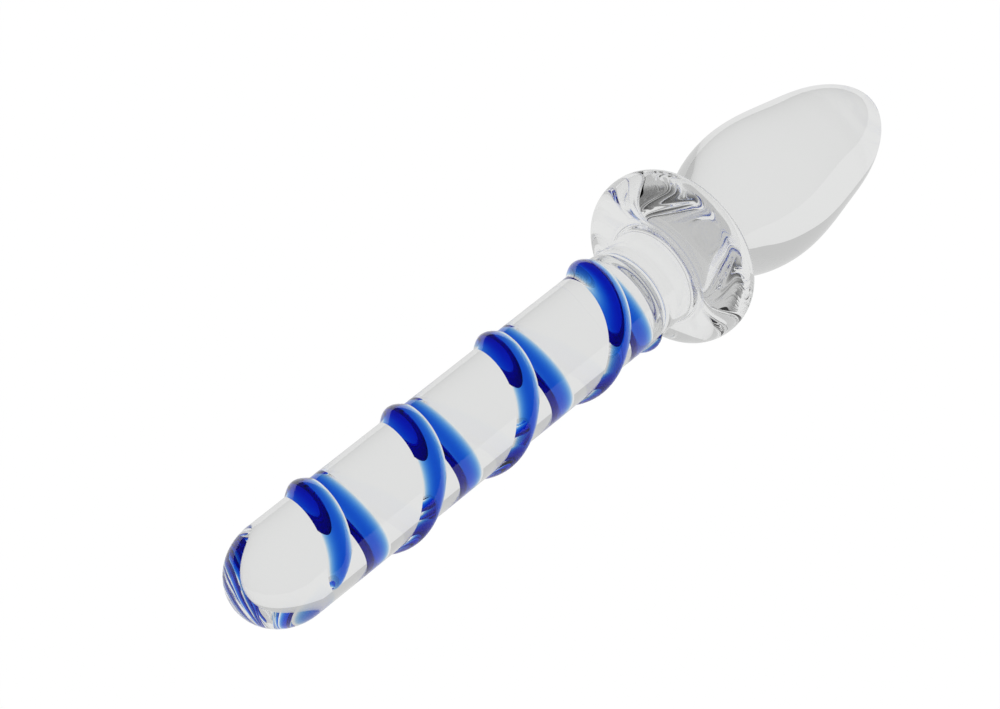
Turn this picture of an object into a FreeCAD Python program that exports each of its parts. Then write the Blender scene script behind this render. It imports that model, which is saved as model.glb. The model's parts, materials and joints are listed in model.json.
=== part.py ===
"""Double-ended hand-worked glass wand: spiral shaft, collar bead and tapered bulb.

Each piece of glass is its own solid, as it comes off the lampworker's rack
before fusing.  All sizes are millimetres.  The wand is first laid out along a
straight +X axis from the shaft's domed tip (x = 0) to the bulb's nose, with
the side it rests on towards -Z, and one placement then lays it on the ground
plane, where the plain end of the shaft and the collar bead touch down.
"""
import FreeCAD
import Part
import math
import os

from FreeCAD import Vector

# ---- driving dimensions ------------------------------------------------------
shaft_diameter = 26.0       # clear rod that carries the spiral
dome_length = 14.6          # half-ellipsoid tip, a little longer than a hemisphere
shaft_length = 138.8        # from the dome's apex to the shoulder
shoulder_reach = 3.0        # fire-polished edge of the shaft's back end, along the axis
joint_diameter = 24.0       # bottom of the groove where shaft and neck are fused

neck_diameter = 25.4        # rod that joins the shaft to the bulb, through the collar
neck_round = 0.8            # how far the neck's front edge is rounded, along the axis
collar_station = 156.2      # middle of the collar bead along the axis
collar_diameter = 47.0      # outside of the bead
collar_half_width = 8.2     # half of the bead's widest part, along the axis
collar_half_depth = 6.5     # half of the bead's section, along the radius
collar_rise = 1.2           # the hand-wound bead sits this much above the axis
collar_fillet = 1.3         # where the bead runs into the neck
cradle_station = 145.3      # middle of the bare neck between the trail and the bead

bulb_station = 167.5        # where the bulb's gather meets the neck
bulb_diameter = 38.6        # widest part of the bulb
bulb_widest_station = 191.5
overall_length = 236.2      # apex to nose, along the axis

spiral_pitch = 32.0         # rise per turn where the trail starts, left-handed
spiral_stretch = 0.38       # each turn rises this much more, squared over the turns
spiral_first_turn = 0.24    # where the trail starts, in turns from straight below
spiral_last_turn = 4.17     # where it ends, against the shaft's shoulder
spiral_zero_station = 11.1  # station of the trail's centre line at turn 0
spiral_tail_turn = 3.7      # from here on the trail closes up and follows the shoulder
spiral_tail_room = 3.3      # how far it still runs along the axis after that
spiral_tail_slope = 4.0     # length over which its foot steps down from shaft to neck
spiral_sway = 0.7           # hand-laid turns wander this far along the axis, twice a turn

casing_half_width = 4.2     # clear glass of the trail, along the axis
casing_height = 1.8         # above the shaft's surface
core_half_width = 3.8       # cobalt glass inside it
core_height = 1.7
trail_end_turns = 0.08      # each end of the trail rounds off over this much of a turn
trail_end_width = 0.30      # width left at the very end, as a share
trail_end_height = 0.12     # height left there, as a share

# ---- derived dimensions ------------------------------------------------------
shaft_radius = shaft_diameter / 2
joint_radius = joint_diameter / 2
neck_radius = neck_diameter / 2
bulb_radius = bulb_diameter / 2
collar_section_radius = collar_diameter / 2 - collar_half_depth

sections_per_turn = 40
points_per_section = 9
sections_per_end = 8
faces_along_trail = 16
sewing_tolerance = 0.001


# ---- helpers -----------------------------------------------------------------
def revolve(edges):
    """Solid of revolution about the X axis from the edges of a closed outline."""
    face = Part.Face(Part.Wire(edges))
    solid = face.revolve(Vector(0, 0, 0), Vector(1, 0, 0), 360)
    return solid


def line(a, b):
    return Part.LineSegment(a, b).toShape()


def on_profile(station, radius):
    """A point of an outline that is revolved about X."""
    return Vector(station, 0, radius)


# ---- clear rods --------------------------------------------------------------
def quarter_ellipse(centre, flat_end, steep_end):
    """Edge of a quarter ellipse about centre, between the ends of its two half axes."""
    along = (flat_end - centre).Length
    across = (steep_end - centre).Length
    major, minor = (flat_end, steep_end) if along >= across else (steep_end, flat_end)
    oval = Part.Ellipse(major, minor, centre)
    full_turn = 2 * math.pi
    span = [oval.parameter(flat_end), oval.parameter(steep_end)]
    if abs(span[0] - span[1]) > math.pi:
        span = [full_turn if angle < 1e-9 else angle for angle in span]
    return Part.ArcOfEllipse(oval, min(span), max(span)).toShape()


def make_shaft_rod():
    """Rod with a half-ellipsoid tip and a fire-polished back edge."""
    apex = on_profile(0, 0)
    rim = on_profile(dome_length, shaft_radius)
    shoulder = on_profile(shaft_length - shoulder_reach, shaft_radius)
    groove = on_profile(shaft_length, joint_radius)
    return revolve([
        quarter_ellipse(on_profile(dome_length, 0), apex, rim),
        line(rim, shoulder),
        quarter_ellipse(on_profile(shaft_length - shoulder_reach, joint_radius), groove, shoulder),
        line(groove, on_profile(shaft_length, 0)),
        line(on_profile(shaft_length, 0), apex),
    ])


def make_neck_rod():
    """Rod from the shaft's back end to the bulb, through the collar."""
    groove = on_profile(shaft_length, joint_radius)
    front = on_profile(shaft_length + neck_round, neck_radius)
    back = on_profile(bulb_station, neck_radius)
    return revolve([
        line(on_profile(shaft_length, 0), groove),
        quarter_ellipse(on_profile(shaft_length + neck_round, joint_radius), groove, front),
        line(front, back),
        line(back, on_profile(bulb_station, 0)),
        line(on_profile(bulb_station, 0), on_profile(shaft_length, 0)),
    ])


def make_collar_ring():
    """Wound bead with an oval section, filleted into the neck on both sides."""
    reach = collar_half_width * 1.8
    sleeve_start = Vector(collar_station - reach, 0, 0)
    sleeve = Part.makeCylinder(neck_radius, 2 * reach, sleeve_start, Vector(1, 0, 0))
    centre = Vector(collar_station, 0, collar_section_radius)
    wide = Vector(collar_station + collar_half_width, 0, collar_section_radius)
    deep = Vector(collar_station, 0, collar_section_radius + collar_half_depth)
    oval = Part.Ellipse(wide, deep, centre).toShape()
    bead = Part.Face(Part.Wire([oval])).revolve(Vector(0, 0, 0), Vector(1, 0, 0), 360)
    bead.translate(Vector(0, 0, collar_rise))
    joined = bead.fuse(sleeve).removeSplitter()
    roots = [edge for edge in joined.Edges if is_collar_root(edge)]
    filleted = joined.makeFillet(collar_fillet, roots)
    rod_start = sleeve_start - Vector(reach, 0, 0)
    rod = Part.makeCylinder(neck_radius, 4 * reach, rod_start, Vector(1, 0, 0))
    return filleted.cut(rod).Solids[0]


def is_collar_root(edge):
    """True for the two closed edges where the bead meets the neck's surface."""
    corner = edge.Vertexes[0].Point
    on_neck = abs(math.hypot(corner.y, corner.z) - neck_radius) < 0.01
    on_bead = abs(corner.x - collar_station) < collar_half_width
    return edge.isClosed() and on_neck and on_bead


def make_plug_bulb():
    """Tapered bulb drawn from one gather: waist, shoulder, long taper, round nose."""
    waist = on_profile(bulb_station, neck_radius)
    outline = Part.BSplineCurve()
    outline.interpolate(
        Points=[
            waist,
            on_profile(175.0, 15.9),
            on_profile(183.0, 18.5),
            on_profile(bulb_widest_station, bulb_radius),
            on_profile(209.0, 16.8),
            on_profile(226.5, 11.6),
            on_profile(overall_length, 0),
        ],
        InitialTangent=Vector(1, 0, 0.15),
        FinalTangent=Vector(0, 0, -1),
    )
    nose = on_profile(overall_length, 0)
    base = on_profile(bulb_station, 0)
    return revolve([line(base, waist), outline.toShape(), line(nose, base)])


# ---- spiral trail ------------------------------------------------------------
def trail_station(turn):
    """Station of the trail's centre line along the axis."""
    laid = min(turn, spiral_tail_turn)
    station = spiral_zero_station + spiral_pitch * laid + spiral_stretch * laid * laid
    if turn > spiral_tail_turn:
        pitch_there = spiral_pitch + 2 * spiral_stretch * spiral_tail_turn
        run = pitch_there * (turn - spiral_tail_turn)
        station += spiral_tail_room * (1 - math.exp(-run / spiral_tail_room))
    station -= spiral_sway * math.sin(4 * math.pi * turn)
    return station


def trail_base(station):
    """Radius of the trail's foot: on the shaft, then stepping down over the groove to the neck."""
    past = (station - (shaft_length - shoulder_reach)) / spiral_tail_slope
    past = min(max(past, 0.0), 1.0)
    return shaft_radius - (shaft_radius - neck_radius) * past * past * (3 - 2 * past)


def trail_shares(turn):
    """Shares of the full width and height: 1 along the trail, rounding off at its ends."""
    from_end = min(turn - spiral_first_turn, spiral_last_turn - turn)
    t = min(max(0.0, 1 - from_end / trail_end_turns), 1.0)
    width = trail_end_width + (1 - trail_end_width) * (1 - t * t)
    height = trail_end_height + (1 - trail_end_height) * (1 - t * t) ** 0.75
    return width, height


def trail_point(turn, across, half_width, height):
    """Point of the trail's skin; across runs from -1 to 1 over its width."""
    width_share, height_share = trail_shares(turn)
    station = trail_station(turn) + across * half_width * width_share
    radius = trail_base(station) + height * height_share * math.cos(across * math.pi / 2)
    angle = 2 * math.pi * turn
    return Vector(station, -radius * math.sin(angle), -radius * math.cos(angle))


def trail_turns():
    """Turns at which the trail is sectioned, closer together at its rounded ends."""
    first = spiral_first_turn + trail_end_turns
    last = spiral_last_turn - trail_end_turns
    count = int((last - first) * sections_per_turn)
    middle = [first + (last - first) * i / count for i in range(count + 1)]
    ramp = [math.cos(math.pi / 2 * i / sections_per_end) for i in range(sections_per_end)]
    front = [first - trail_end_turns * share for share in ramp]
    back = [last + trail_end_turns * share for share in reversed(ramp)]
    return front + middle + back


def spline_through(points, parameters):
    curve = Part.BSplineCurve()
    curve.interpolate(Points=points, Parameters=parameters)
    return curve


def make_strip(rows):
    """Smooth surface through a grid of points, one row per section.

    Strips that share a line of points share the same edge exactly, because
    every line along the trail is a spline over the same turns.
    """
    across = [i / (len(rows[0]) - 1) for i in range(len(rows[0]))]
    lines = [spline_through(list(column), trail_turns()) for column in zip(*rows)]
    ribs = [spline_through(list(poles), across) for poles in zip(*(l.getPoles() for l in lines))]
    surface = Part.BSplineSurface()
    surface.buildFromPolesMultsKnots(
        [rib.getPoles() for rib in ribs],
        lines[0].getMultiplicities(), ribs[0].getMultiplicities(),
        lines[0].getKnots(), ribs[0].getKnots(),
        False, False, lines[0].Degree, ribs[0].Degree,
    )
    return surface


def arch_rows(half_width, height):
    """Rounded skin of the trail, from one foot to the other."""
    steps = points_per_section - 1
    span = [2 * i / steps - 1 for i in range(points_per_section)]
    return [[trail_point(t, s, half_width, height) for s in span] for t in trail_turns()]


def foot_rows(side_a, half_width_a, side_b, half_width_b):
    """Strip that lies on the shaft's surface between two lines along the trail."""
    return [
        [trail_point(t, side_a, half_width_a, 0), trail_point(t, side_b, half_width_b, 0)]
        for t in trail_turns()
    ]


def split_strip(strip):
    """Faces of one strip, each a short arc of the trail."""
    first, last, left, right = strip.bounds()
    step = (last - first) / faces_along_trail
    faces = []
    for index in range(faces_along_trail):
        piece = strip.copy()
        piece.segment(first + index * step, first + (index + 1) * step, left, right)
        faces.append(piece.toShape())
    return faces


def close_trail(strips):
    """Solid inside the given strips and the flat faces across their two ends."""
    faces = [face for strip in strips for face in split_strip(strip)]
    first, last, _, _ = strips[0].bounds()
    for turn_end in (first, last):
        rims = [strip.uIso(turn_end).toShape() for strip in strips]
        faces.append(Part.Face(Part.Wire(Part.__sortEdges__(rims))))
    skin = Part.Compound(faces)
    skin.sewShape(sewing_tolerance)
    return Part.makeSolid(skin.Shells[0])


def make_spiral_blue_core():
    """Cobalt cane, lying on the shaft and wrapped by the clear casing."""
    return close_trail([
        make_strip(arch_rows(core_half_width, core_height)),
        make_strip(foot_rows(1, core_half_width, -1, core_half_width)),
    ])


def make_spiral_clear_casing():
    """Clear arch over the cobalt cane, standing on the shaft on either side of it."""
    return close_trail([
        make_strip(arch_rows(casing_half_width, casing_height)),
        make_strip(arch_rows(core_half_width, core_height)),
        make_strip(foot_rows(-1, casing_half_width, -1, core_half_width)),
        make_strip(foot_rows(1, core_half_width, 1, casing_half_width)),
    ])


# ---- how the wand lies -------------------------------------------------------
def rest_tilt():
    """Slope of the axis, in radians, when the dome and the bead both touch the ground."""
    between = collar_station - dome_length
    bead_drop = collar_section_radius - collar_rise
    tilt = 0.0
    for _ in range(20):
        sine, cosine = math.sin(tilt), math.cos(tilt)
        dome_reach = math.hypot(dome_length * sine, shaft_radius * cosine)
        bead_reach = math.hypot(collar_half_width * sine, collar_half_depth * cosine)
        tilt = math.asin((bead_drop * cosine + bead_reach - dome_reach) / between)
    return tilt


def lie_down(solids):
    """Placement that lays the straight wand down, centred over the origin."""
    tilt = rest_tilt()
    dome_reach = math.hypot(dome_length * math.sin(tilt), shaft_radius * math.cos(tilt))
    lift = dome_reach - dome_length * math.sin(tilt)
    turned = FreeCAD.Placement(Vector(0, 0, lift), FreeCAD.Rotation(Vector(0, 1, 0), -math.degrees(tilt)))
    box = Part.Compound([s.transformed(turned.toMatrix(), True) for s in solids]).optimalBoundingBox()
    centred = FreeCAD.Placement(Vector(-(box.XMin + box.XMax) / 2, 0, 0), FreeCAD.Rotation())
    return centred.multiply(turned)


pieces = {
    "shaft_rod": make_shaft_rod(),
    "spiral_blue_core": make_spiral_blue_core(),
    "spiral_clear_casing": make_spiral_clear_casing(),
    "neck_rod": make_neck_rod(),
    "collar_ring": make_collar_ring(),
    "plug_bulb": make_plug_bulb(),
}
placement = lie_down(pieces.values())
os.makedirs("parts", exist_ok=True)
for node, solid in pieces.items():
    laid = solid.transformed(placement.toMatrix(), True)
    laid.exportStep("parts/" + node + ".step")
    print(node, laid.ShapeType, laid.isValid(), round(laid.Volume, 1), laid.optimalBoundingBox())

neck_middle = placement.multVec(Vector(cradle_station, 0, 0))
print("tilt of the axis, degrees:", round(math.degrees(rest_tilt()), 3))
print("origin of the straight axis:", placement.Base)
print("middle of the bare neck:", neck_middle)
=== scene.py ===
"""Looks of the hand-worked glass wand: clear glass, a cobalt spiral, a collar and a bulb.

Every piece is first made in millimetres along a straight +X axis, from the domed tip
(station 0) to the bulb's nose, with the side it rests on towards -Z.  One matrix, read
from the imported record, then lays it where the CAD pieces are.

The glass is fused, so light must not bend where one piece meets the next.  Each piece
is a closed mesh: its outer skin is glass, and the faces it shares with its neighbours
carry a clear joint material that light passes straight through.
"""
import json
import math
import bpy
import numpy
from mathutils import Matrix, Vector
from mathutils.geometry import delaunay_2d_cdt


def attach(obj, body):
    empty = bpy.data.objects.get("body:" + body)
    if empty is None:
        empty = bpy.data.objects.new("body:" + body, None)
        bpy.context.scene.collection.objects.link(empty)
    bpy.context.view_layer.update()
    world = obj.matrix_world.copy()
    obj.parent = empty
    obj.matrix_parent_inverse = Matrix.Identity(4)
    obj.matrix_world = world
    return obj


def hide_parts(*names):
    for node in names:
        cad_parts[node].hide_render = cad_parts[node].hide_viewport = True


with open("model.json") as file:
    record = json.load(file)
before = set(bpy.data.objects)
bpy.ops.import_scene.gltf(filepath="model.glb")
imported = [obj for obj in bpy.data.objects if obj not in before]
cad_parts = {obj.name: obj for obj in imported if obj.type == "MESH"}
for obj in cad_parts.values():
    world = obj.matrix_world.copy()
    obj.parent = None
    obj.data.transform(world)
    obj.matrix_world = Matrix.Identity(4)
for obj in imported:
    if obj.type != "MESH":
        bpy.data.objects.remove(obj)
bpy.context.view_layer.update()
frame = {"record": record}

# ---- driving dimensions, in millimetres, as in the CAD ------------------------
shaft_radius = 13.0
dome_length = 14.6
shaft_length = 138.8
shoulder_reach = 3.0
joint_radius = 12.0
neck_radius = 12.7
neck_round = 0.8
collar_station = 156.2
collar_half_width = 8.2
collar_half_depth = 6.5
collar_section_radius = 17.0
collar_rise = 1.2
collar_fillet = 1.3
cradle_station = 145.3
bulb_station = 167.5
bulb_outline = (
    (bulb_station, neck_radius), (175.0, 15.9), (183.0, 18.5), (191.5, 19.3),
    (209.0, 16.8), (226.5, 11.6), (236.2, 0.0),
)
bulb_start_direction = (1.0, 0.15)
bulb_end_direction = (0.0, -1.0)

spiral_pitch = 32.0
spiral_stretch = 0.38
spiral_first_turn = 0.24
spiral_last_turn = 4.17
spiral_zero_station = 11.1
spiral_tail_turn = 3.7
spiral_tail_room = 3.3
spiral_tail_slope = 4.0
spiral_sway = 0.7
casing_half_width = 4.2
casing_height = 1.8
core_half_width = 3.8
core_height = 1.7
core_gap = 0.04             # the core stays this far inside the glass around it
casing_margin = 0.3         # on the neck, faces this near the trail's edge still count as bare
trail_end_turns = 0.08
trail_end_width = 0.30
trail_end_height = 0.12
trail_end_power = 0.75      # how bluntly the height rounds off at an end

# ---- mesh density --------------------------------------------------------------
columns = 200               # around the axis; both ends of the trail fall on a column
dome_rings = 40
shoulder_rings = 9
bare_row = 0.42             # length of a mesh row on the plain shaft
casing_steps = 20           # across the arch of the trail
end_sections = 14           # extra sections where the trail rounds off
fillet_steps = 8
oval_steps = 72
bulb_rows = 150
neck_round_rows = 5         # rows on the neck: its rounded edge, bare part, under the bead, waist
neck_bare_rows = 16
neck_under_rows = 12
neck_waist_rows = 8
merge_digits = 4            # points that agree to this many decimals are one vertex
join_distance = 1e-5        # nearer than this, corners of the flat shaft pattern are one
same_turn = 1e-6            # turns nearer than this are the same
nudge = 1e-4                # step over which a slope is measured
steepest_share = 0.9999     # keeps the shoulder's normal finite at its very end
bisections = 50

# ---- where the axis lies --------------------------------------------------------
cradle = next(m for m in frame["record"]["mounts"] if m["name"] == "neck_cradle")
axis_x = Vector(cradle["axis"]).normalized()
axis_y = Vector((0.0, 1.0, 0.0))
axis_z = axis_x.cross(axis_y)
millimetre = 0.001
origin = Vector(cradle["pos_m"]) - axis_x * cradle_station * millimetre
turned = Matrix((axis_x, axis_y, axis_z)).transposed()
forward = Vector((1.0, 0.0, 0.0))            # from the tip to the bulb, before it is laid down
lay_down = Matrix.Translation(origin) @ turned.to_4x4() @ Matrix.Scale(millimetre, 4)


def around(station, radius, turn):
    """Point at a station, a radius and an angle in turns from straight below."""
    angle = 2 * math.pi * (turn % 1.0)
    return Vector((station, -radius * math.sin(angle), -radius * math.cos(angle)))


# ---- materials -------------------------------------------------------------------
clear_tint = (0.98, 0.985, 0.98, 1.0)
glass_index = 1.474         # borosilicate
cobalt_colour = (0.0, 0.53, 0.935, 1.0)
cobalt_density = 2800.0     # per metre of glass crossed


def new_material(name):
    material = bpy.data.materials.new(name)
    material.use_nodes = True
    tree = material.node_tree
    shader = tree.nodes["Principled BSDF"]
    return material, tree, shader


def make_clear_glass():
    """Fire-polished borosilicate glass."""
    material, tree, shader = new_material("clear_glass")
    shader.inputs["Base Color"].default_value = clear_tint
    shader.inputs["Roughness"].default_value = 0.0
    shader.inputs["IOR"].default_value = glass_index
    shader.inputs["Transmission Weight"].default_value = 1.0
    return material


def make_cobalt():
    """Deep blue glass: the colour comes from the depth that light crosses."""
    material, tree, shader = new_material("cobalt_cane")
    shader.inputs["Base Color"].default_value = (1.0, 1.0, 1.0, 1.0)
    shader.inputs["Roughness"].default_value = 0.0
    shader.inputs["IOR"].default_value = 1.0
    shader.inputs["Transmission Weight"].default_value = 1.0
    absorption = tree.nodes.new("ShaderNodeVolumeAbsorption")
    absorption.inputs["Color"].default_value = cobalt_colour
    absorption.inputs["Density"].default_value = cobalt_density
    tree.links.new(absorption.outputs["Volume"], tree.nodes["Material Output"].inputs["Volume"])
    return material


def make_joint():
    """Where two pieces are fused there is no surface left: light goes straight on."""
    material, tree, shader = new_material("fused_joint")
    shader.inputs["Alpha"].default_value = 0.0
    return material


clear_glass = make_clear_glass()
cobalt = make_cobalt()
joint = make_joint()


# ---- closed meshes with exact normals ---------------------------------------------
class Shell:
    """Collects faces in millimetres; points that coincide become one vertex."""

    def __init__(self):
        self.points = []
        self.index = {}
        self.faces = []
        self.normals = []
        self.is_joint = []

    def vertex(self, point):
        key = tuple(round(c, merge_digits) for c in point)
        if key not in self.index:
            self.index[key] = len(self.points)
            self.points.append(point)
        return self.index[key]

    def face(self, corners, is_joint=False, outward=None):
        """Add a face from (point, normal) pairs; it faces outward, or the way its normals do.

        A normal of None leaves that corner flat.
        """
        loop = []
        for point, normal in corners:
            number = self.vertex(point)
            if all(number != seen for seen, _ in loop):
                loop.append((number, normal))
        if len(loop) < 3:
            return
        if outward is None:
            outward = sum((normal for _, normal in loop), Vector((0, 0, 0)))
        first, second, third, last = (self.points[loop[k][0]] for k in (0, 1, 2, -1))
        if ((second - first).cross(third - first) + (third - first).cross(last - first)).dot(outward) < 0:
            loop.reverse()
        self.faces.append([number for number, _ in loop])
        self.normals.extend(normal or Vector((0, 0, 0)) for _, normal in loop)
        self.is_joint.append(is_joint)

    def grid(self, rows, is_joint=False, wraps=False, outward=None):
        """Quads between rows of (point, normal) pairs."""
        for low, high in zip(rows, rows[1:]):
            steps = len(low) if wraps else len(low) - 1
            for i in range(steps):
                k = (i + 1) % len(low)
                way = outward
                if outward == "axis":
                    way = Vector((0, -low[i][0].y, -low[i][0].z))
                self.face((low[i], low[k], high[k], high[i]), is_joint, way)

    def cap(self, ring, centre, outward, is_joint=False):
        """Flat fan from a ring of points to its centre."""
        for i in range(len(ring)):
            corners = ((ring[i], None), (ring[(i + 1) % len(ring)], None), (centre, None))
            self.face(corners, is_joint, outward)

    def build(self, name, glass, node):
        mesh = bpy.data.meshes.new(name)
        mesh.from_pydata([lay_down @ p for p in self.points], [], self.faces)
        mesh.materials.append(glass)
        mesh.materials.append(joint)
        mesh.polygons.foreach_set("material_index", [int(flag) for flag in self.is_joint])
        mesh.polygons.foreach_set("use_smooth", [True] * len(self.faces))
        mesh.normals_split_custom_set([turned @ n for n in self.normals])
        mesh.validate()
        piece = bpy.data.objects.new(name, mesh)
        bpy.context.scene.collection.objects.link(piece)
        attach(piece, "root")
        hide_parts(node)
        return piece


def revolved_rows(profile):
    """Rows of (point, normal) from (station, radius, slope direction) triples."""
    rows = []
    for station, radius, direction in profile:
        along, outward = direction
        rows.append([
            (around(station, radius, j / columns), around(-outward, along, j / columns))
            for j in range(columns)
        ])
    return rows


def ellipse_arc(centre_station, centre_radius, reach, depth, start, end, steps):
    """Profile triples along part of an ellipse; angles in degrees from the +X side."""
    triples = []
    for i in range(steps + 1):
        angle = math.radians(start + (end - start) * i / steps)
        direction = Vector((reach * math.sin(angle), -depth * math.cos(angle))).normalized()
        station = centre_station + reach * math.cos(angle)
        radius = centre_radius + depth * math.sin(angle)
        triples.append((station, max(radius, 0.0), tuple(direction)))
    return triples


# ---- trail of glass wound round the shaft -------------------------------------------
def shaft_surface(station):
    """Radius of the shaft's skin behind the dome."""
    past = station - (shaft_length - shoulder_reach)
    if past <= 0:
        return shaft_radius
    share = min(past / shoulder_reach, 1.0)
    return joint_radius + (shaft_radius - joint_radius) * math.sqrt(1 - share * share)


def trail_station(turn):
    """Station of the trail's centre line along the axis."""
    laid = min(turn, spiral_tail_turn)
    station = spiral_zero_station + spiral_pitch * laid + spiral_stretch * laid * laid
    if turn > spiral_tail_turn:
        pitch_there = spiral_pitch + 2 * spiral_stretch * spiral_tail_turn
        run = pitch_there * (turn - spiral_tail_turn)
        station += spiral_tail_room * (1 - math.exp(-run / spiral_tail_room))
    station -= spiral_sway * math.sin(4 * math.pi * turn)
    return station


def trail_base(station):
    """Radius of the trail's foot: on the shaft, then stepping down over the groove to the neck."""
    past = (station - (shaft_length - shoulder_reach)) / spiral_tail_slope
    past = min(max(past, 0.0), 1.0)
    return shaft_radius - (shaft_radius - neck_radius) * past * past * (3 - 2 * past)


def trail_shares(turn):
    """Shares of the full width and height: 1 along the trail, rounding off at its ends."""
    from_end = min(turn - spiral_first_turn, spiral_last_turn - turn)
    t = min(max(0.0, 1 - from_end / trail_end_turns), 1.0)
    width = trail_end_width + (1 - trail_end_width) * (1 - t * t)
    height = trail_end_height + (1 - trail_end_height) * (1 - t * t) ** trail_end_power
    return width, height


def trail_foot(turn, side):
    """Station of the casing's foot line on one side, -1 or 1."""
    return trail_station(turn) + side * casing_half_width * trail_shares(turn)[0]


def trail_sections():
    """Turns at which the trail is sectioned: every column, and closer at its ends."""
    first = round(spiral_first_turn * columns)
    last = round(spiral_last_turn * columns)
    turns = {round(n / columns, 9) for n in range(first, last + 1)}
    for i in range(end_sections):
        ramp = trail_end_turns * (1 - math.cos(math.pi / 2 * i / end_sections))
        turns.add(round(spiral_first_turn + ramp, 9))
        turns.add(round(spiral_last_turn - ramp, 9))
    return sorted(turns)


def trail_point(turn, across, half_width, height, lift):
    """Point of a trail's skin; across runs from -1 to 1 over its width."""
    width_share, height_share = trail_shares(turn)
    station = trail_station(turn) + across * half_width * width_share
    radius = trail_base(station) + lift + height * height_share * math.cos(across * math.pi / 2)
    return around(station, radius, turn)


def arch_sheet(half_width, height, lift, outward):
    """Rows of (point, normal) over the arch; outward is 1 for a top skin, -1 for an inner one."""
    rows = []
    for turn in trail_sections():
        row = []
        for i in range(casing_steps + 1):
            across = 2 * i / casing_steps - 1
            point = trail_point(turn, across, half_width, height, lift)
            low, high = max(turn - nudge, spiral_first_turn), min(turn + nudge, spiral_last_turn)
            along = (trail_point(high, across, half_width, height, lift)
                     - trail_point(low, across, half_width, height, lift))
            sideways = (trail_point(turn, across + nudge, half_width, height, lift)
                        - trail_point(turn, across - nudge, half_width, height, lift))
            normal = sideways.cross(along).normalized()
            radial = Vector((0, point.y, point.z))
            if normal.dot(radial) < 0:
                normal.negate()
            row.append((point, normal * outward))
        rows.append(row)
    return rows


def winding(turn):
    """Way in which the trail runs round the axis at a turn."""
    return around(0.0, 1.0, turn + 0.25)


def flat(row):
    """The same points without normals, for faces that stay flat."""
    return [(point, None) for point, _ in row]


def make_casing():
    """Clear skin of the trail, open underneath where the core lies."""
    shell = Shell()
    outer = arch_sheet(casing_half_width, casing_height, 0.0, 1)
    inner = arch_sheet(core_half_width, core_height, 0.0, -1)
    shell.grid(outer)
    shell.grid(inner, is_joint=True)
    for side in (0, -1):
        shell.grid([flat([o[side], n[side]]) for o, n in zip(outer, inner)], is_joint=True, outward="axis")
    shell.grid([flat(inner[0]), flat(outer[0])], outward=-winding(spiral_first_turn))
    shell.grid([flat(outer[-1]), flat(inner[-1])], outward=winding(spiral_last_turn))
    return shell.build("glass_casing", clear_glass, "spiral_clear_casing")


def make_core():
    """Cobalt cane inside the casing, a hair smaller so that the two never share a face."""
    shell = Shell()
    top = arch_sheet(core_half_width - core_gap, core_height - 2 * core_gap, core_gap, 1)
    shell.grid(top)
    under = []
    for turn, row in zip(trail_sections(), top):
        start, end = row[0][0].x, row[-1][0].x
        stations = [start + (end - start) * i / casing_steps for i in range(casing_steps + 1)]
        under.append([(around(x, trail_base(x) + core_gap, turn), None) for x in stations])
    shell.grid(under, outward="axis")
    shell.grid([under[0], flat(top[0])], outward=-winding(spiral_first_turn))
    shell.grid([flat(top[-1]), under[-1]], outward=winding(spiral_last_turn))
    return shell.build("cobalt_core", cobalt, "spiral_blue_core")


def crossings(turn):
    """Turns of the trail that pass an angle, given in turns from straight below."""
    found = [turn + k for k in range(-1, math.ceil(spiral_last_turn) + 1)]
    return [t for t in found if spiral_first_turn - same_turn <= t <= spiral_last_turn + same_turn]


def is_covered(station, turn, margin=0.0):
    """True where the trail lies over the rods."""
    return any(
        trail_foot(t, -1) + margin < station < trail_foot(t, 1) - margin for t in crossings(turn)
    )


# ---- shaft -----------------------------------------------------------------------------
def shaft_lattice():
    """Stations of the mesh rows from the dome's rim to the shoulder's steep part."""
    plain_end = shaft_length - shoulder_reach
    count = round((plain_end - dome_length) / bare_row)
    rows = [dome_length + (plain_end - dome_length) * i / count for i in range(count + 1)]
    for i in range(1, shoulder_rings):
        rows.append(plain_end + shoulder_reach * math.sin(math.pi / 2 * i / shoulder_rings))
    return rows


def shaft_normal(station, turn):
    """Outward normal of the shaft's skin behind the dome."""
    past = station - (shaft_length - shoulder_reach)
    if past <= 0:
        return around(0.0, 1.0, turn)
    share = min(past / shoulder_reach, steepest_share)
    lean = share / shoulder_reach
    rise = math.sqrt(1 - share * share) / (shaft_radius - joint_radius)
    return around(lean, rise, turn).normalized()


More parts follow.
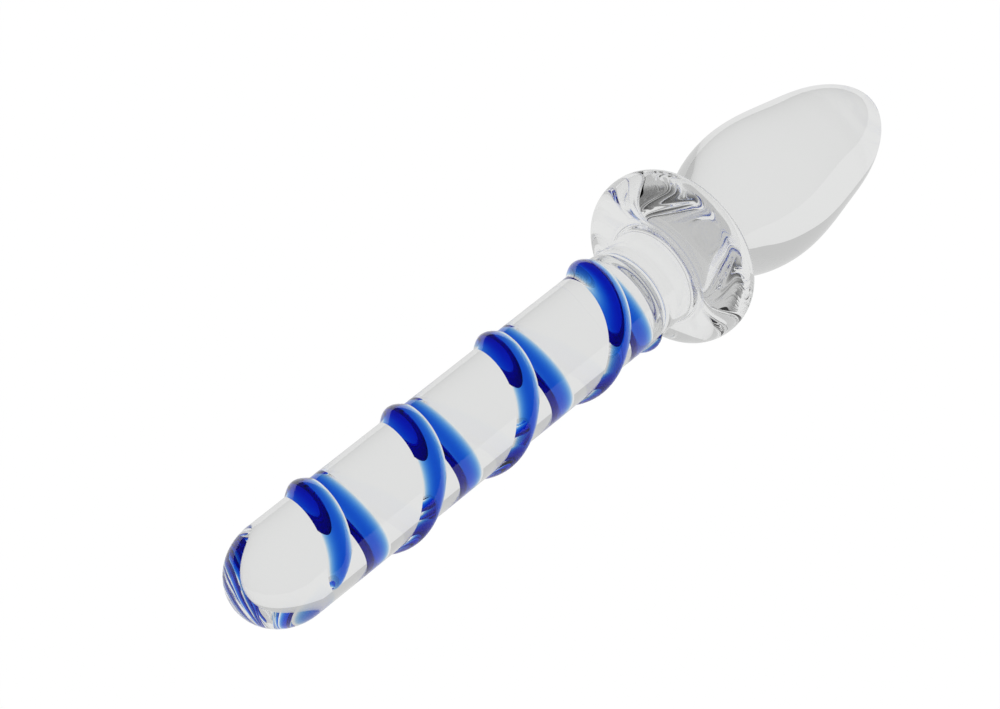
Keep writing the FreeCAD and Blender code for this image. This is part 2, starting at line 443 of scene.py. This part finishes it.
def make_shaft():
    """Shaft whose mesh follows the trail's edges, so that the covered part can be a joint."""
    shell = Shell()
    dome = ellipse_arc(dome_length, 0.0, dome_length, shaft_radius, 180, 90, dome_rings)
    shell.grid(revolved_rows(dome), wraps=True)

    lattice = shaft_lattice()
    square = 2 * math.pi * shaft_radius      # so that mesh cells are square when laid flat
    spots, number_of = [], {}

    def spot(station, turn):
        key = (round(station, 5), round(turn, 7))
        if key not in number_of:
            number_of[key] = len(spots)
            spots.append((station, turn))
        return number_of[key]

    def foot_spot(column, side, whole):
        station = min(trail_foot(column / columns, side), lattice[-1])
        return spot(station, (column - whole * columns) / columns)

    edges = []
    first, last = round(spiral_first_turn * columns), round(spiral_last_turn * columns)
    for side in (-1, 1):
        for column in range(first, last):
            whole = column // columns
            edges.append((foot_spot(column, side, whole), foot_spot(column + 1, side, whole)))
    for end in (first, last):
        edges.append((foot_spot(end, -1, end // columns), foot_spot(end, 1, end // columns)))
    edges = [edge for edge in edges if edge[0] != edge[1]]
    for j in range(columns + 1):
        turn = j / columns
        feet = [min(trail_foot(t, side), lattice[-1]) for t in crossings(turn) for side in (-1, 1)]
        for row, station in enumerate(lattice):
            is_rim = row in (0, len(lattice) - 1)
            if is_rim or all(abs(station - foot) > bare_row / 3 for foot in feet):
                spot(station, turn)
    for station in (lattice[0], lattice[-1]):
        for j in range(columns):
            edges.append((spot(station, j / columns), spot(station, (j + 1) / columns)))

    flat_spots = [Vector((station, turn * square)) for station, turn in spots]
    _, _, faces, source, _, _ = delaunay_2d_cdt(flat_spots, edges, [], 0, join_distance, True)
    for corners in faces:
        stations, turns, loop = [], [], []
        for corner in corners:
            station, turn = spots[source[corner][0]]
            stations.append(station)
            turns.append(turn)
            loop.append((around(station, shaft_surface(station), turn), shaft_normal(station, turn)))
        station = sum(stations) / len(stations)
        turn = sum(turns) / len(turns)
        shell.face(loop, is_covered(station, turn))

    back_ring = [around(shaft_length, joint_radius, j / columns) for j in range(columns)]
    rim = [
        (around(lattice[-1], shaft_surface(lattice[-1]), j / columns), shaft_normal(lattice[-1], j / columns))
        for j in range(columns)
    ]
    edge = [(point, forward) for point in back_ring]
    for j in range(columns):
        k = (j + 1) % columns
        covered = is_covered(shaft_length, (j + 0.5) / columns, casing_margin)
        shell.face((rim[j], rim[k], edge[k], edge[j]), covered)
    shell.cap(back_ring, Vector((shaft_length, 0, 0)), forward, is_joint=True)
    return shell.build("glass_shaft", clear_glass, "shaft_rod")


# ---- collar and neck -----------------------------------------------------------------------
def collar_outline(turn):
    """Half outline of the bead in the plane at its own angle: crest, flank, fillet, foot.

    Each entry is (distance ahead of the middle, radius, normal).
    """
    upness = around(0.0, 1.0, turn).z
    drop = collar_rise * math.sqrt(1 - upness * upness)
    neck_here = -collar_rise * upness + math.sqrt(neck_radius ** 2 - drop ** 2)

    def oval(angle):
        ahead = collar_half_width * math.cos(angle)
        radius = collar_section_radius + collar_half_depth * math.sin(angle)
        normal = Vector((math.cos(angle) / collar_half_width, math.sin(angle) / collar_half_depth))
        return ahead, radius, normal.normalized()

    low, high = -math.pi / 2, 0.0
    for _ in range(bisections):
        middle = (low + high) / 2
        _, radius, normal = oval(middle)
        if radius + collar_fillet * normal.y < neck_here + collar_fillet:
            low = middle
        else:
            high = middle
    touch = (low + high) / 2
    ahead, radius, normal = oval(touch)
    fillet_ahead = ahead + collar_fillet * normal.x
    fillet_radius = neck_here + collar_fillet

    outline = [oval(math.pi / 2 + (touch - math.pi / 2) * i / oval_steps) for i in range(oval_steps + 1)]
    start = math.atan2(-normal.y, -normal.x)
    if start > 0:
        start -= 2 * math.pi
    for i in range(1, fillet_steps + 1):
        angle = start + (-math.pi / 2 - start) * i / fillet_steps
        out = Vector((math.cos(angle), math.sin(angle)))
        outline.append((fillet_ahead + collar_fillet * out.x, fillet_radius + collar_fillet * out.y, -out))
    return outline


def collar_columns():
    """For each column: its own turn, and rows of (point, normal) from foot to foot."""
    shift = Vector((0, 0, collar_rise))
    result = []
    for j in range(columns):
        turn = j / columns
        half = collar_outline(turn)
        rows = []
        for sign, part in ((-1, list(reversed(half))), (1, half[1:])):
            for ahead, radius, normal in part:
                point = around(collar_station + sign * ahead, radius, turn) + shift
                rows.append((point, around(sign * normal.x, normal.y, turn)))
        result.append(rows)
    return result


def on_neck(point):
    """The same station and angle, exactly on the neck's skin."""
    radial = Vector((0, point.y, point.z)).normalized() * neck_radius
    return Vector((point.x, radial.y, radial.z))


def make_collar(bead):
    """Collar bead, closed by the band where it is fused to the neck."""
    shell = Shell()
    for column in bead:
        column[0] = (on_neck(column[0][0]), column[0][1])
        column[-1] = (on_neck(column[-1][0]), column[-1][1])
    rows = [list(row) for row in zip(*bead)]
    shell.grid(rows, wraps=True)
    shell.grid([flat(rows[-1]), flat(rows[0])], is_joint=True, wraps=True, outward="axis")
    return shell.build("glass_collar", clear_glass, "collar_ring")


def make_neck(bead):
    """Neck from the groove to the bulb; its columns line up with the bead's."""
    shell = Shell()
    columns_of_rows = []
    for column in bead:
        front, back = column[0][0], column[-1][0]
        out = Vector((0, front.y, front.z)).normalized()

        def spot(station, radius, normal):
            point = out * radius
            return (Vector((station, point.y, point.z)), normal)

        rows = []
        for i in range(neck_round_rows + 1):
            angle = math.pi / 2 * i / neck_round_rows
            station = shaft_length + neck_round * (1 - math.cos(angle))
            radius = joint_radius + (neck_radius - joint_radius) * math.sin(angle)
            lean = Vector((-math.cos(angle) / neck_round, 0, 0))
            rise = out * math.sin(angle) / (neck_radius - joint_radius)
            rows.append(spot(station, radius, (lean + rise).normalized()))
        start = shaft_length + neck_round
        for i in range(1, neck_bare_rows + 1):
            rows.append(spot(start + (front.x - start) * i / neck_bare_rows, neck_radius, out))
        for i in range(1, neck_under_rows + 1):
            rows.append(spot(front.x + (back.x - front.x) * i / neck_under_rows, neck_radius, out))
        for i in range(1, neck_waist_rows + 1):
            rows.append(spot(back.x + (bulb_station - back.x) * i / neck_waist_rows, neck_radius, out))
        columns_of_rows.append(rows)
    rows = [list(row) for row in zip(*columns_of_rows)]
    first_under = neck_round_rows + neck_bare_rows
    first_waist = first_under + neck_under_rows
    for low, high in zip(rows[:first_under], rows[1:first_under + 1]):
        for j in range(columns):
            k = (j + 1) % columns
            middle = (low[j][0] + high[k][0]) / 2
            turn = math.atan2(-middle.y, -middle.z) / (2 * math.pi) % 1.0
            shell.face((low[j], low[k], high[k], high[j]), is_covered(middle.x, turn, casing_margin))
    shell.grid(rows[first_under:first_waist + 1], is_joint=True, wraps=True)
    shell.grid(rows[first_waist:], wraps=True)
    shell.cap([point for point, _ in rows[0]], Vector((shaft_length, 0, 0)), -forward, is_joint=True)
    shell.cap([point for point, _ in rows[-1]], Vector((bulb_station, 0, 0)), forward, is_joint=True)
    return shell.build("glass_neck", clear_glass, "neck_rod")


# ---- bulb --------------------------------------------------------------------------------------
def smooth_outline(points, start_direction, end_direction, steps):
    """Cubic spline through points with given end directions, as (station, radius, direction)."""
    points = numpy.array(points)
    chords = numpy.linalg.norm(numpy.diff(points, axis=0), axis=1)
    count = len(points)
    matrix = numpy.eye(count)
    wanted = numpy.zeros((count, 2))
    wanted[0] = numpy.array(start_direction) / numpy.linalg.norm(start_direction)
    wanted[-1] = numpy.array(end_direction) / numpy.linalg.norm(end_direction)
    for i in range(1, count - 1):
        before, after = chords[i - 1], chords[i]
        matrix[i, i - 1:i + 2] = (after, 2 * (before + after), before)
        wanted[i] = 3 * (after * (points[i] - points[i - 1]) / before
                         + before * (points[i + 1] - points[i]) / after)
    slopes = numpy.linalg.solve(matrix, wanted)
    ends = numpy.concatenate(([0.0], numpy.cumsum(chords)))
    result = []
    for k in range(steps + 1):
        length = ends[-1] * math.sin(math.pi / 2 * k / steps)
        i = min(int(numpy.searchsorted(ends, length, side="right")) - 1, count - 2)
        h = chords[i]
        t = (length - ends[i]) / h
        place = ((2 * t ** 3 - 3 * t ** 2 + 1) * points[i] + (t ** 3 - 2 * t ** 2 + t) * h * slopes[i]
                 + (3 * t ** 2 - 2 * t ** 3) * points[i + 1] + (t ** 3 - t ** 2) * h * slopes[i + 1])
        speed = ((6 * t ** 2 - 6 * t) * (points[i] - points[i + 1]) / h + (3 * t ** 2 - 4 * t + 1) * slopes[i]
                 + (3 * t ** 2 - 2 * t) * slopes[i + 1])
        speed = speed / numpy.linalg.norm(speed)
        result.append((float(place[0]), max(float(place[1]), 0.0), (float(speed[0]), float(speed[1]))))
    return result


def make_bulb(bead):
    """Bulb turned from a smooth outline."""
    shell = Shell()
    profile = smooth_outline(bulb_outline, bulb_start_direction, bulb_end_direction, bulb_rows)
    profile[-1] = (bulb_outline[-1][0], 0.0, bulb_end_direction)
    rows = []
    for station, radius, (along, outward) in profile:
        row = []
        for column in bead:
            front = column[0][0]
            out = Vector((0, front.y, front.z)).normalized()
            point = out * radius
            row.append((Vector((station, point.y, point.z)), Vector((-outward, 0, 0)) + out * along))
        rows.append(row)
    shell.grid(rows, wraps=True)
    shell.cap([point for point, _ in rows[0]], Vector((bulb_station, 0, 0)), -forward, is_joint=True)
    return shell.build("glass_bulb", clear_glass, "plug_bulb")


make_shaft()
make_casing()
make_core()
bead_columns = collar_columns()
make_collar(bead_columns)
make_neck(bead_columns)
make_bulb(bead_columns)


# ---- camera ---------------------------------------------------------------------------------------
camera_azimuth = math.radians(-48.9)
camera_elevation = math.radians(38.2)
focal_length = 146.1
sensor_width = 36.0
nearest_shown = 0.01        # metres
aim_station = 117.0
aim_right, aim_down, aim_ahead = 17.14, -3.19, 989.8     # where that station sits from the camera
back = Vector((
    math.sin(camera_azimuth) * math.cos(camera_elevation),
    -math.cos(camera_azimuth) * math.cos(camera_elevation),
    math.sin(camera_elevation),
))
right = Vector((math.cos(camera_azimuth), math.sin(camera_azimuth), 0.0))
up = back.cross(right)
aim = lay_down @ Vector((aim_station, 0, 0))
place = aim + (-right * aim_right + up * aim_down + back * aim_ahead) * millimetre
lens = bpy.data.cameras.new("camera")
lens.lens, lens.sensor_width = focal_length, sensor_width
lens.clip_start = nearest_shown
camera = bpy.data.objects.new("camera", lens)
camera.matrix_world = Matrix.Translation(place) @ Matrix((right, up, back)).transposed().to_4x4()
bpy.context.scene.collection.objects.link(camera)
bpy.context.scene.camera = camera


# ---- stage ----------------------------------------------------------------------------------------
floor_half = 3.0            # metres
floor_light = 0.78
room_light = 0.55
dim_light = 0.08
dim_side = (-0.91, -0.38, 0.17)     # direction in which the room is dimmest
dim_edges = (0.75, 0.95)            # cosine at which the dimming begins, and at which it is full


def shown_and_lighting(tree, shown, lighting):
    """Strength that is one value where the camera looks straight at it, another as a light."""
    path = tree.nodes.new("ShaderNodeLightPath")
    mix = tree.nodes.new("ShaderNodeMix")
    tree.links.new(path.outputs["Is Camera Ray"], mix.inputs["Factor"])
    mix.inputs["A"].default_value = lighting
    mix.inputs["B"].default_value = shown
    return mix.outputs["Result"]


def make_floor():
    """Pale sheet under the wand, evenly lit; it shows pure white and lights the glass softer."""
    mesh = bpy.data.meshes.new("floor")
    signs = ((-1, -1), (1, -1), (1, 1), (-1, 1))
    mesh.from_pydata([(x * floor_half, y * floor_half, 0) for x, y in signs], [], [(0, 1, 2, 3)])
    material, tree, shader = new_material("floor_sheet")
    shader.inputs["Base Color"].default_value = (0.02, 0.02, 0.02, 1.0)
    shader.inputs["Roughness"].default_value = 0.9
    shader.inputs["Specular IOR Level"].default_value = 0.0
    shader.inputs["Emission Color"].default_value = (1.0, 1.0, 1.0, 1.0)
    tree.links.new(shown_and_lighting(tree, 1.0, floor_light), shader.inputs["Emission Strength"])
    mesh.materials.append(material)
    floor = bpy.data.objects.new("floor", mesh)
    bpy.context.scene.collection.objects.link(floor)
    return floor


def make_world():
    """Soft room round the wand, dim towards the tip's side; the camera sees it as plain white.

    Light that has come through glass sees the room; any other ray sees the dim value everywhere.
    """
    world = bpy.data.worlds.new("soft_room")
    bpy.context.scene.world = world
    world.use_nodes = True
    tree = world.node_tree
    background = tree.nodes["Background"]
    where = tree.nodes.new("ShaderNodeTexCoord")
    towards = tree.nodes.new("ShaderNodeVectorMath")
    towards.operation = "DOT_PRODUCT"
    towards.inputs[1].default_value = dim_side
    tree.links.new(where.outputs["Generated"], towards.inputs[0])
    ramp = tree.nodes.new("ShaderNodeValToRGB")
    tree.links.new(towards.outputs["Value"], ramp.inputs["Fac"])
    stops = ramp.color_ramp.elements
    stops[0].position, stops[1].position = dim_edges
    stops[0].color = (room_light, room_light, room_light, 1.0)
    stops[1].color = (dim_light, dim_light, dim_light, 1.0)
    path = tree.nodes.new("ShaderNodeLightPath")
    glint = tree.nodes.new("ShaderNodeMix")
    glint.data_type = "RGBA"
    tree.links.new(path.outputs["Is Transmission Ray"], glint.inputs["Factor"])
    glint.inputs[6].default_value = (dim_light, dim_light, dim_light, 1.0)
    tree.links.new(ramp.outputs["Color"], glint.inputs[7])
    seen = tree.nodes.new("ShaderNodeMix")
    seen.data_type = "RGBA"
    tree.links.new(path.outputs["Is Camera Ray"], seen.inputs["Factor"])
    tree.links.new(glint.outputs[2], seen.inputs[6])
    seen.inputs[7].default_value = (1.0, 1.0, 1.0, 1.0)
    tree.links.new(seen.outputs[2], background.inputs["Color"])
    background.inputs["Strength"].default_value = 1.0
    return world


make_floor()
make_world()

scene = bpy.context.scene
scene.view_settings.view_transform = "Standard"
scene.cycles.max_bounces = 48
scene.cycles.transmission_bounces = 48
scene.cycles.glossy_bounces = 24
scene.cycles.transparent_max_bounces = 64
scene.cycles.caustics_reflective = True
scene.cycles.caustics_refractive = True
